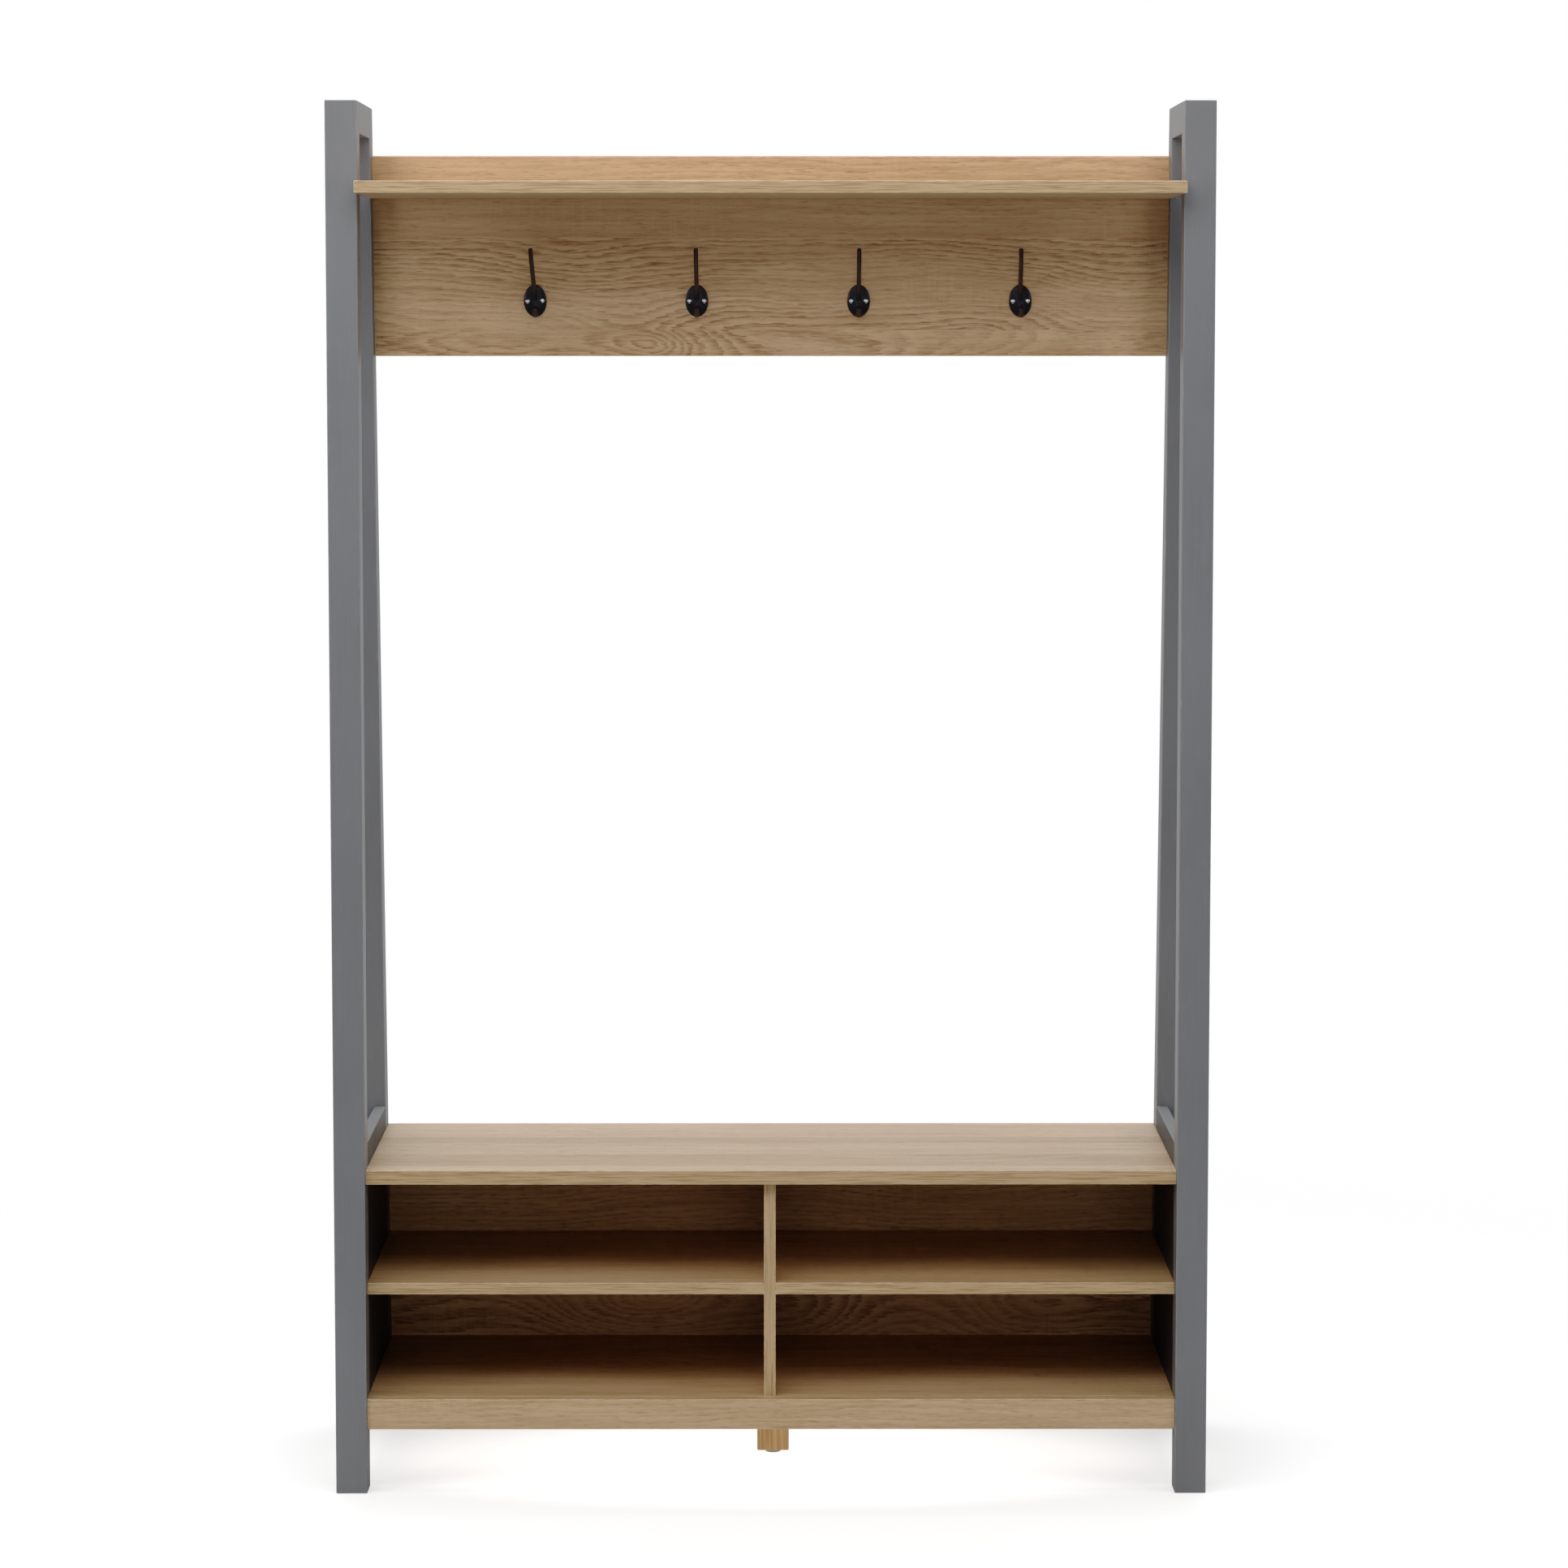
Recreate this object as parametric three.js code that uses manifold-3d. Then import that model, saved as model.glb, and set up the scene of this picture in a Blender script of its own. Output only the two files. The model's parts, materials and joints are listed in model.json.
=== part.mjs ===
// A hall tree: two leaning side frames that carry a bench with shoe cubbies, a hook panel and an upper shelf.
// Millimetres. +X is to the right seen from the front, +Y runs to the back and +Z is up.
// The origin is at the middle of the object's outline on the floor.
import * as THREE from 'three';
import { mergeVertices } from 'three/addons/utils/BufferGeometryUtils.js';
import Module from 'manifold-3d';

// ---- Driving dimensions ----

const HEIGHT = 1778;
const INNER_WIDTH = 1038; // between the two side frames
const POST = 40; // square section of the posts and the top rails
const FOOT_DEPTH = 388; // front of the front post to the back of the rear post, on the floor
const TOP_DEPTH = 219; // the same at the top, where the rear post has leaned forward
const SHELF_OVERHANG = 45; // upper shelf in front of the front posts
const BOARD = 15; // thickness of the shelves, the divider and the hook panel
const BENCH = 18; // thickness of the bench top and the apron
const BACK = 6; // thickness of the cubbies' back panel
const GAP = 0.3; // left where a piece meets a slanted or turned neighbour

const BENCH_TOP_Z = 419;
const BENCH_SETBACK = 6; // front edges, measured back from the front posts' front faces
const BENCH_REAR = 348;
const CUBBY_SETBACK = 22;
const MIDDLE_SHELF_Z = 270; // top face
const BOTTOM_SHELF_Z = 122; // top face
const APRON_SETBACK = 4;
const APRON_BOTTOM_Z = 83;
const SIDE_PANEL_TOP_Z = 450;
const UPPER_SHELF_Z = 1676; // top face
const DIVIDER_X = -1.5;

const PANEL_HEIGHT = 260; // along the lean
const PANEL_FROM_FOOT = 1465; // along the rear posts' back faces, from the floor
const HOOK_SPACING = 211.5;
const HOOK_SHIFT = 9; // the row of hooks sits a little to the right of centre
const HOOK_UP_PANEL = 73; // plate centre above the hook panel's lower edge
const HOOK_ROLLS = [2.5, 0.4, 0.2, 1.6]; // degrees that each hook was screwed on out of plumb

const PLATE = { halfWidth: 15, halfHeight: 21, rise: 4.5 };
const ARM = { halfWidth: 2.9, halfThickness: 2.3 };
const PRONG = { halfWidth: 3.6, halfThickness: 1.9 };
const HOOK_SCREW = { apart: 19.3, headRadius: 2.9, headHeight: 1.6, shankRadius: 1.7, length: 16 };

const LEG = 42; // square section of the centre leg
const LEG_X = 2.5;
const LEG_SETBACK = 196;
const LEG_BOTTOM_Z = 6;
const LEVELLER = { radius: 12, thickness: 4.5, studRadius: 3.8, studTop: 30 };
const INSERT = { radius: 5.2, bore: 4.2, length: 12.5 };

const CAM = { radius: 7.2, height: 12, fromEnd: 34, channel: 3.7 };
const CAM_BOLT = { radius: 3, neck: 2.2, head: 3.3, inPost: 11 };
const HOLE_CLEARANCE = 0.35; // on the radius of every drilled hole

// ---- Worked out from the driving dimensions ----

const FRONT = -(FOOT_DEPTH - SHELF_OVERHANG) / 2; // front posts' front faces
const SIDE = INNER_WIDTH / 2; // side frames' inner faces
const SLOPE = (FOOT_DEPTH - TOP_DEPTH) / HEIGHT;
const LEAN = Math.atan(SLOPE);

// Y of a plane parallel to the rear posts' back faces, at height z, that lies a depth in front of them.
function leaningY(z, depth) {
  return FRONT + FOOT_DEPTH - SLOPE * z - depth / Math.cos(LEAN);
}

// ---- Materials ----

function material(color, roughness, metalness) {
  return new THREE.MeshStandardMaterial({ color, roughness, metalness });
}

const GREY_PAINT = material(0x727376, 0.42, 0);
const DARK_GREY = material(0x38393c, 0.5, 0);
const OAK = material(0xbc9c78, 0.5, 0);
const LEG_WOOD = material(0xd6a874, 0.45, 0);
const BLACK_METAL = material(0x2a292f, 0.4, 0.35);
const STEEL = material(0xb9bcc0, 0.3, 1);
const ZINC = material(0x9b9da0, 0.45, 1);
const GREY_PLASTIC = material(0xa7a6a4, 0.5, 0);

// ---- Solids ----

const wasm = await Module();
wasm.setup();

function solidOf(geometry) {
  const bare = geometry.clone();
  bare.deleteAttribute('normal');
  bare.deleteAttribute('uv');
  const merged = mergeVertices(bare, 1e-4);
  const mesh = new wasm.Mesh({
    numProp: 3,
    vertProperties: merged.attributes.position.array,
    triVerts: new Uint32Array(merged.index.array),
  });
  return new wasm.Manifold(mesh);
}

function geometryOf(solid) {
  const mesh = solid.getMesh();
  const indexed = new THREE.BufferGeometry();
  indexed.setAttribute('position', new THREE.BufferAttribute(mesh.vertProperties, 3));
  indexed.setIndex(new THREE.BufferAttribute(mesh.triVerts, 1));
  const flat = indexed.toNonIndexed();
  flat.computeVertexNormals();
  return flat;
}

// A body with every cutter taken out of it.
function cut(body, cutters) {
  const rest = cutters.reduce((solid, cutter) => solid.subtract(solidOf(cutter)), solidOf(body));
  return geometryOf(rest);
}

function join(bodies) {
  const [first, ...others] = bodies.map(solidOf);
  const whole = others.reduce((solid, other) => solid.add(other), first);
  return geometryOf(whole);
}

// A box between two corners.
function box(low, high) {
  const size = high.map((value, i) => value - low[i]);
  const centre = high.map((value, i) => (value + low[i]) / 2);
  return new THREE.BoxGeometry(...size).translate(...centre);
}

// A side view outline, as [y, z] points, carried across from x0 to x1.
function acrossX(outline, x0, x1) {
  const shape = new THREE.Shape(outline.map(([y, z]) => new THREE.Vector2(y, z)));
  const sideways = new THREE.Matrix4().makeBasis(
    new THREE.Vector3(0, 1, 0),
    new THREE.Vector3(0, 0, 1),
    new THREE.Vector3(1, 0, 0),
  );
  const geometry = new THREE.ExtrudeGeometry(shape, { depth: x1 - x0, bevelEnabled: false });
  return geometry.applyMatrix4(sideways).translate(x0, 0, 0);
}

// A turned solid about the Z axis, from [radius, z] points that run upwards.
function turned(profile, sides) {
  const points = profile.map(([r, z]) => new THREE.Vector2(r, z));
  return new THREE.LatheGeometry(points, sides).rotateX(Math.PI / 2);
}

function rod(radius, z0, z1, sides) {
  return turned([[0, z0], [radius, z0], [radius, z1], [0, z1]], sides);
}

const tree = new THREE.Group();

function add(parent, name, geometry, look) {
  const mesh = new THREE.Mesh(geometry, look);
  mesh.name = name;
  parent.add(mesh);
  return mesh;
}

// Everything between the rear posts that leans with them. In this group y = 0 is the plane of the posts'
// back faces, -y is towards the front and z runs up the lean from the floor.
const leaning = new THREE.Group();
leaning.position.set(0, FRONT + FOOT_DEPTH, 0);
leaning.rotation.x = LEAN;
tree.add(leaning);

// ---- Cam joints ----
// A cam joint's own axes: +X runs out of the board's end into the post, +Z out of the face that the
// cam lock is let into, and the origin is on the board's end, at half its thickness.

const SIDES = [['left', -1], ['right', 1]];

function camFrame(side, y, z, up) {
  const out = new THREE.Vector3(side, 0, 0);
  const across = new THREE.Vector3().crossVectors(up, out);
  return new THREE.Matrix4().makeBasis(out, across, up).setPosition(side * SIDE, y, z);
}

function alongX(geometry) {
  return geometry.rotateY(Math.PI / 2);
}

function camBolt() {
  const { radius, neck, head, inPost } = CAM_BOLT;
  const headEnd = -CAM.fromEnd - 2;
  const neckEnd = headEnd + 3;
  const shankEnd = neckEnd + 5;
  return alongX(turned([
    [0, headEnd], [head, headEnd], [head, neckEnd], [neck, neckEnd],
    [neck, shankEnd], [radius, shankEnd], [radius, inPost], [0, inPost],
  ], 8));
}

function camLock(thickness) {
  const top = thickness / 2 - GAP;
  const disc = rod(CAM.radius, top - CAM.height, top, 16).translate(-CAM.fromEnd, 0, 0);
  const channel = alongX(rod(CAM.channel, -CAM.fromEnd - 3, -CAM.fromEnd + 10, 8));
  const slotHalf = [3.5, 0.8];
  const slotDepth = 1.6;
  const slots = [slotHalf, [...slotHalf].reverse()].map(([dx, dy]) =>
    box([-CAM.fromEnd - dx, -dy, top - slotDepth], [-CAM.fromEnd + dx, dy, top + 1]));
  return cut(disc, [channel, ...slots]);
}

function camPocket(thickness) {
  const floor = thickness / 2 - CAM.height - 2 * GAP;
  return rod(CAM.radius + HOLE_CLEARANCE, floor, thickness / 2 + 1, 16).translate(-CAM.fromEnd, 0, 0);
}

function boltHole() {
  return alongX(rod(CAM.channel + HOLE_CLEARANCE, -CAM.fromEnd, 1, 8));
}

function postHole() {
  return alongX(rod(CAM_BOLT.radius + HOLE_CLEARANCE, -1, CAM_BOLT.inPost + GAP, 8));
}

const DOWN = new THREE.Vector3(0, 0, -1);
const UP = new THREE.Vector3(0, 0, 1);
const BACKWARD = new THREE.Vector3(0, 1, 0);

// The joints of each board: where on its end the bolt goes, which post takes it and where the cam opens.
const benchZ = BENCH_TOP_Z - BENCH / 2;
const bottomZ = BOTTOM_SHELF_Z - BOARD / 2;
const upperZ = UPPER_SHELF_Z - BOARD / 2;
const bottomFront = FRONT + APRON_SETBACK + BENCH + 10;
const boards = {
  bench: {
    thickness: BENCH,
    up: DOWN,
    group: tree,
    joints: [
      { at: 'front', post: 'front', y: FRONT + POST / 2, z: benchZ },
      { at: 'rear', post: 'rear', y: leaningY(benchZ, POST / 2), z: benchZ },
    ],
  },
  bottom: {
    thickness: BOARD,
    up: DOWN,
    group: tree,
    joints: [
      { at: 'front', post: 'front', y: bottomFront, z: bottomZ },
      { at: 'rear', post: 'rear', y: leaningY(bottomZ, POST - 13), z: bottomZ },
    ],
  },
  upper: {
    thickness: BOARD,
    up: UP,
    group: tree,
    joints: [{ at: 'front', post: 'front', y: FRONT + POST / 2, z: upperZ }],
  },
  hooks: {
    thickness: BOARD,
    up: BACKWARD,
    group: leaning,
    joints: [
      { at: 'low', post: 'rear', y: -BOARD / 2, z: PANEL_FROM_FOOT + 40 },
      { at: 'high', post: 'rear', y: -BOARD / 2, z: PANEL_FROM_FOOT + PANEL_HEIGHT - 40 },
    ],
  },
};

function boardHoles(name) {
  const { thickness, up, joints } = boards[name];
  return SIDES.flatMap(([, side]) => joints.flatMap(({ y, z }) => {
    const frame = camFrame(side, y, z, up);
    return [camPocket(thickness).applyMatrix4(frame), boltHole().applyMatrix4(frame)];
  }));
}

function postHoles(post, side) {
  leaning.updateMatrixWorld(true);
  return Object.values(boards).flatMap(({ up, group, joints }) =>
    joints.filter((joint) => joint.post === post).map(({ y, z }) =>
      postHole().applyMatrix4(camFrame(side, y, z, up)).applyMatrix4(group.matrixWorld)));
}

function addCamJoints() {
  for (const [board, { thickness, up, group, joints }] of Object.entries(boards)) {
    for (const [sideName, side] of SIDES) {
      for (const { at, y, z } of joints) {
        const frame = camFrame(side, y, z, up);
        const label = `${board}_${sideName}_${at}`;
        add(group, `cam_bolt_${label}`, camBolt().applyMatrix4(frame), STEEL);
        add(group, `cam_lock_${label}`, camLock(thickness).applyMatrix4(frame), ZINC);
      }
    }
  }
}

// ---- Side frames ----

function sideSpan(side, width) {
  const inner = side * SIDE;
  const outer = side * (SIDE + width);
  return [Math.min(inner, outer), Math.max(inner, outer)];
}

// A side view outline from y0 back to a leaning plane that lies a depth in front of the posts' back faces.
function slantBacked(y0, z0, z1, depth) {
  return [[y0, z0], [leaningY(z0, depth), z0], [leaningY(z1, depth), z1], [y0, z1]];
}

function addSideFrame(name, side) {
  const postSpan = sideSpan(side, POST);
  const behindFront = FRONT + POST;
  const front = box([postSpan[0], FRONT, 0], [postSpan[1], behindFront, HEIGHT]);
  const rearOutline = [
    [leaningY(0, POST), 0], [leaningY(0, 0), 0],
    [leaningY(HEIGHT, 0), HEIGHT], [leaningY(HEIGHT, POST), HEIGHT],
  ];
  const rail = slantBacked(behindFront, HEIGHT - POST, HEIGHT, POST + GAP);
  const panel = slantBacked(behindFront, APRON_BOTTOM_Z, SIDE_PANEL_TOP_Z, POST + GAP);
  add(tree, `front_post_${name}`, cut(front, postHoles('front', side)), GREY_PAINT);
  add(tree, `rear_post_${name}`, cut(acrossX(rearOutline, ...postSpan), postHoles('rear', side)), GREY_PAINT);
  add(tree, `top_rail_${name}`, acrossX(rail, ...postSpan), GREY_PAINT);
  add(tree, `side_panel_${name}`, acrossX(panel, ...sideSpan(side, BOARD)), DARK_GREY);
}

// ---- Bench, cubbies and upper shelf ----

function addBoards() {
  const dividerX = [DIVIDER_X - BOARD / 2, DIVIDER_X + BOARD / 2];
  const cubbyFront = FRONT + CUBBY_SETBACK;
  const apronFront = FRONT + APRON_SETBACK;
  const apronBack = apronFront + BENCH;
  const benchBottom = BENCH_TOP_Z - BENCH;
  const bottomUnder = BOTTOM_SHELF_Z - BOARD;
  const middleUnder = MIDDLE_SHELF_Z - BOARD;
  const backInset = BACK + GAP;

  const bench = box([-SIDE, FRONT + BENCH_SETBACK, benchBottom], [SIDE, FRONT + BENCH_REAR, BENCH_TOP_Z]);
  add(tree, 'bench_top', cut(bench, boardHoles('bench')), OAK);

  const divider = slantBacked(cubbyFront, BOTTOM_SHELF_Z, benchBottom, backInset);
  add(tree, 'centre_divider', acrossX(divider, ...dividerX), OAK);

  const middle = slantBacked(cubbyFront, middleUnder, MIDDLE_SHELF_Z, backInset);
  add(tree, 'middle_shelf_left', acrossX(middle, -SIDE, dividerX[0]), OAK);
  add(tree, 'middle_shelf_right', acrossX(middle, dividerX[1], SIDE), OAK);

  const bottom = acrossX(slantBacked(apronBack, bottomUnder, BOTTOM_SHELF_Z, backInset), -SIDE, SIDE);
  add(tree, 'bottom_shelf', cut(bottom, boardHoles('bottom')), OAK);

  const apron = box([-SIDE, apronFront, APRON_BOTTOM_Z], [SIDE, apronBack, BOTTOM_SHELF_Z]);
  add(tree, 'front_apron', apron, OAK);

  const backFrom = bottomUnder / Math.cos(LEAN) + GAP;
  const backTo = benchBottom / Math.cos(LEAN) - 2 * GAP;
  add(leaning, 'lower_back_panel', box([-SIDE, -BACK, backFrom], [SIDE, 0, backTo]), OAK);

  const panelTop = PANEL_FROM_FOOT + PANEL_HEIGHT;
  const screwHoles = hookPlaces().flatMap((place) =>
    hookScrewHoles().map((hole) => hole.applyMatrix4(place)));
  const panel = box([-SIDE, -BOARD, PANEL_FROM_FOOT], [SIDE, 0, panelTop]);
  add(leaning, 'hook_panel', cut(panel, [...boardHoles('hooks'), ...screwHoles]), OAK);

  const upperFront = FRONT - SHELF_OVERHANG;
  const upper = slantBacked(upperFront, UPPER_SHELF_Z - BOARD, UPPER_SHELF_Z, BOARD + GAP);
  add(tree, 'upper_shelf', cut(acrossX(upper, -SIDE, SIDE), boardHoles('upper')), OAK);
}

// ---- Centre leg and its levelling glide ----

function addCentreLeg() {
  const { radius, thickness, studRadius, studTop } = LEVELLER;
  const legY = FRONT + LEG_SETBACK;
  const half = LEG / 2;
  const chamfer = 1.5;
  const insertTop = LEG_BOTTOM_Z + GAP + INSERT.length;
  const centre = [LEG_X, legY + half, 0];
  const leg = box([LEG_X - half, legY, LEG_BOTTOM_Z], [LEG_X + half, legY + LEG, BOTTOM_SHELF_Z - BOARD]);
  const pocket = rod(INSERT.radius + HOLE_CLEARANCE, LEG_BOTTOM_Z - 1, insertTop + GAP, 12);
  const bore = rod(INSERT.bore + HOLE_CLEARANCE, LEG_BOTTOM_Z, studTop + 6, 12);
  const holes = [pocket, bore].map((hole) => hole.translate(...centre));
  add(tree, 'centre_leg', cut(leg, holes), LEG_WOOD);

  const sleeve = rod(INSERT.radius, LEG_BOTTOM_Z + GAP, insertTop, 12);
  const insert = cut(sleeve, [rod(INSERT.bore, 0, insertTop + 1, 12)]);
  add(tree, 'leveller_insert', insert.translate(...centre), ZINC);

  const foot = turned([
    [0, 0], [radius - chamfer, 0], [radius, chamfer], [radius, thickness - chamfer],
    [radius - chamfer, thickness], [studRadius, thickness], [studRadius, studTop], [0, studTop],
  ], 24);
  add(tree, 'leg_leveller', foot.translate(...centre), GREY_PLASTIC);
}

// ---- Coat hooks ----
// A hook's own axes: the plate's centre is the origin, -Y is out from the panel and +Z is up.

function hookPlaces() {
  return HOOK_ROLLS.map((roll, i) => {
    const x = HOOK_SHIFT + (i - (HOOK_ROLLS.length - 1) / 2) * HOOK_SPACING;
    // a positive roll carries the arm's tip to the left, seen from the front
    const turn = new THREE.Matrix4().makeRotationY(-THREE.MathUtils.degToRad(roll));
    return turn.setPosition(x, -BOARD, PANEL_FROM_FOOT + HOOK_UP_PANEL);
  });
}

function hookScrewXs() {
  return [-HOOK_SCREW.apart / 2, HOOK_SCREW.apart / 2];
}

function hookScrewHoles() {
  const { shankRadius, length } = HOOK_SCREW;
  const depth = length - PLATE.rise + GAP;
  return hookScrewXs().map((x) =>
    rod(shankRadius + HOLE_CLEARANCE, -depth, PLATE.rise + 1, 8).rotateX(Math.PI / 2).translate(x, 0, 0));
}

// An elliptic bar along a smooth curve in the hook's middle plane, through [out, up] points.
function bar(points, section, steps) {
  const curve = new THREE.CatmullRomCurve3(points.map(([out, up]) => new THREE.Vector3(0, -out, up)));
  const ellipse = new THREE.EllipseCurve(0, 0, section.halfWidth, section.halfThickness);
  const outline = new THREE.Shape(ellipse.getPoints(8).slice(0, -1));
  return new THREE.ExtrudeGeometry(outline, { steps, extrudePath: curve });
}

function coatHook() {
  const { halfWidth, halfHeight, rise } = PLATE;
  const dome = [[0, GAP], [1, GAP], [1, 1.6], [0.9, 2.7], [0.62, 3.9], [0.3, rise], [0, rise]];
  const plate = turned(dome.map(([r, z]) => [r * halfHeight, z]), 20)
    .scale(halfWidth / halfHeight, 1, 1)
    .rotateX(Math.PI / 2);
  const arm = bar([[2.8, 3], [9, 13], [19, 28], [32, 43], [42, 56], [47, 71]], ARM, 10);
  const prong = bar([[2.8, -6], [8, -13], [15, -18.5], [22, -16.5], [26, -7]], PRONG, 8);
  return cut(join([plate, arm, prong]), hookScrewHoles());
}

function hookScrew() {
  const { headRadius, headHeight, shankRadius, length } = HOOK_SCREW;
  const seat = PLATE.rise;
  const top = seat + headHeight;
  const screw = turned([
    [0, seat - length], [shankRadius, seat - length], [shankRadius, seat], [headRadius, seat],
    [headRadius, seat + 0.7], [headRadius * 0.6, top], [0, top],
  ], 12);
  const wide = 1.7;
  const narrow = 0.4;
  const slots = [[wide, narrow], [narrow, wide]].map(([dx, dy]) =>
    box([-dx, -dy, top - 1], [dx, dy, top + 1]));
  return cut(screw, slots).rotateX(Math.PI / 2);
}

function addHooks() {
  hookPlaces().forEach((place, i) => {
    add(leaning, `coat_hook_${i + 1}`, coatHook().applyMatrix4(place), BLACK_METAL);
    const [leftX, rightX] = hookScrewXs();
    const left = hookScrew().translate(leftX, 0, 0).applyMatrix4(place);
    const right = hookScrew().translate(rightX, 0, 0).applyMatrix4(place);
    add(leaning, `hook_screw_${i + 1}_left`, left, STEEL);
    add(leaning, `hook_screw_${i + 1}_right`, right, STEEL);
  });
}

for (const [name, side] of SIDES) {
  addSideFrame(name, side);
}
addBoards();
addCentreLeg();
addHooks();
addCamJoints();

export default tree;
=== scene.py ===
# A hall tree: its looks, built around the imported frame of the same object.
# Metres. +X is to the right seen from the front, the front faces -Y and +Z is up.
import json
import math

import bmesh
import bpy
from mathutils import Matrix, Vector


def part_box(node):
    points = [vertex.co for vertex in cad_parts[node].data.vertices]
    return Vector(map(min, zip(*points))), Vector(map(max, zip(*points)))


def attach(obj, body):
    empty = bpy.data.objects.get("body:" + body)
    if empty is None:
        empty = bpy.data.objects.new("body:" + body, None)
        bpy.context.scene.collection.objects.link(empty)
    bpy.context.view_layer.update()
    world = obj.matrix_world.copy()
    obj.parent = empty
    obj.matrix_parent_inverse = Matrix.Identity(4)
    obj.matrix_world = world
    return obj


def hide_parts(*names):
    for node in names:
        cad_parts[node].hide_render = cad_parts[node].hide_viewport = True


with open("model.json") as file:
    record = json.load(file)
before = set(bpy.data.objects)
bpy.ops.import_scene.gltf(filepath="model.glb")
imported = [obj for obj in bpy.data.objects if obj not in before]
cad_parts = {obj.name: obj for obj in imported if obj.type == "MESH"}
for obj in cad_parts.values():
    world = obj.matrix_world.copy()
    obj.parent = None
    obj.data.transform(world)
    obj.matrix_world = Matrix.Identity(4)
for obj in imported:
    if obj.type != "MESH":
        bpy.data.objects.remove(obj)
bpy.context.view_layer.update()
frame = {"nodes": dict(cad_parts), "record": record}

MM = 0.001
X, Y, Z = 0, 1, 2
TREE = "hall_tree"  # the body of everything that stands still
LEVELLER = "leveller"  # the body of the glide that turns in and out of the centre leg
SIDES = ("left", "right")


# ---- Directions and places, from the frame ----

def mount_axis(name):
    """The way that a mount of the record faces."""
    mount = next(m for m in frame["record"]["mounts"] if m["name"] == name)
    return Vector(mount["axis"]).normalized()


BACK = mount_axis("wall_strap_face")  # out of the back of what leans with the rear posts
RIGHT = Vector((1, 0, 0))
UP = Vector((0, 0, 1))


def middle(node):
    """The middle of a CAD node's box."""
    low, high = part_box(node)
    return (low + high) / 2


def share_of(node, axis, share):
    """The place along an axis, from 0 at the low side of a CAD node's box to 1 at its high side."""
    low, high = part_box(node)
    return low[axis] + (high[axis] - low[axis]) * share


def axes_at(x_axis, y_axis, z_axis, origin):
    """The matrix that puts a piece's own axes and origin where they are given."""
    turn = Matrix((x_axis, y_axis, z_axis)).transposed().to_4x4()
    return Matrix.Translation(origin) @ turn


# ---- Camera, light and floor ----

# How bright the picture shows each brightness, both from 0 to 1: the toe deepens the shade.
TONES = ((0.015, 0.006), (0.03, 0.018), (0.06, 0.054), (0.12, 0.138), (0.25, 0.285), (0.5, 0.52))

CAMERA_PLACE = (0.0027, -5.7466, 1.4869)
CAMERA_LENS = 101.4  # millimetres, on a sensor 36 mm wide
CAMERA_SHIFT = -0.05
PITCH_DOWN = math.radians(4.82)
TURN_RIGHT = 0.0025


def add_camera():
    data = bpy.data.cameras.new("camera")
    data.sensor_width = 36
    data.lens = CAMERA_LENS
    data.shift_y = CAMERA_SHIFT
    data.clip_end = 60
    camera = bpy.data.objects.new("camera", data)
    camera.location = CAMERA_PLACE
    camera.rotation_euler = (math.pi / 2 - PITCH_DOWN, 0, -TURN_RIGHT)
    bpy.context.scene.collection.objects.link(camera)
    bpy.context.scene.camera = camera


def set_view():
    """Plain screen colours with the deeper shade of a finished product picture."""
    view = bpy.context.scene.view_settings
    view.view_transform = "Standard"
    view.use_curve_mapping = True
    combined = view.curve_mapping.curves[3]
    for light, shown in TONES:
        combined.points.new(light, shown)
    view.curve_mapping.update()


# Each softbox: its name, where it hangs, what it points at, its width and height, and its watts.
SOFTBOXES = (
    ("key", (-0.4, -2.2, 3.0), (0, 0, 0.7), (3.0, 1.8), 50),
    ("front_fill", (0.2, -6.5, 0.9), (0, 0, 0.7), (4.0, 1.6), 28),
    ("left", (-3.5, -2.0, 1.8), (0, 0, 1.3), (1.6, 1.8), 40),
    ("right", (3.5, -2.0, 1.8), (0, 0, 1.3), (1.6, 1.8), 28),
    ("top", (0, 0.2, 4.6), (0, 0.1, 0), (2.6, 2.0), 85),
)


def add_softbox(name, place, aim, size, power):
    data = bpy.data.lights.new(name, "AREA")
    data.shape = "RECTANGLE"
    data.size, data.size_y = size
    data.energy = power
    light = bpy.data.objects.new(name, data)
    light.location = place
    light.rotation_euler = (Vector(aim) - Vector(place)).to_track_quat("-Z", "Y").to_euler()
    bpy.context.scene.collection.objects.link(light)


# How strongly the surround lights the object: dim in front, rising to the backdrop behind.
BACKDROP_RAMP = (("From Min", -0.1), ("From Max", 0.6), ("To Min", 0.06), ("To Max", 0.65))


def add_world():
    """A white backdrop that lights the object from behind, in a dim room. It is seen as white all round."""
    world = bpy.data.worlds.new("surround")
    world.use_nodes = True
    tree = world.node_tree
    tree.nodes.clear()
    direction = tree.nodes.new("ShaderNodeTexCoord")
    split = tree.nodes.new("ShaderNodeSeparateXYZ")
    backdrop = tree.nodes.new("ShaderNodeMapRange")
    backdrop.interpolation_type = "SMOOTHSTEP"
    for name, value in BACKDROP_RAMP:
        backdrop.inputs[name].default_value = value
    rays = tree.nodes.new("ShaderNodeLightPath")
    strength = tree.nodes.new("ShaderNodeMath")
    strength.operation = "MAXIMUM"
    surround = tree.nodes.new("ShaderNodeBackground")
    surround.inputs["Color"].default_value = (1, 1, 1, 1)
    output = tree.nodes.new("ShaderNodeOutputWorld")
    for source, target in (
        (direction.outputs["Generated"], split.inputs[0]),
        (split.outputs["Y"], backdrop.inputs["Value"]),
        (backdrop.outputs["Result"], strength.inputs[0]),
        (rays.outputs["Is Camera Ray"], strength.inputs[1]),
        (strength.outputs[0], surround.inputs["Strength"]),
        (surround.outputs["Background"], output.inputs["Surface"]),
    ):
        tree.links.new(source, target)
    bpy.context.scene.world = world


# ---- Shader graphs ----

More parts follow.
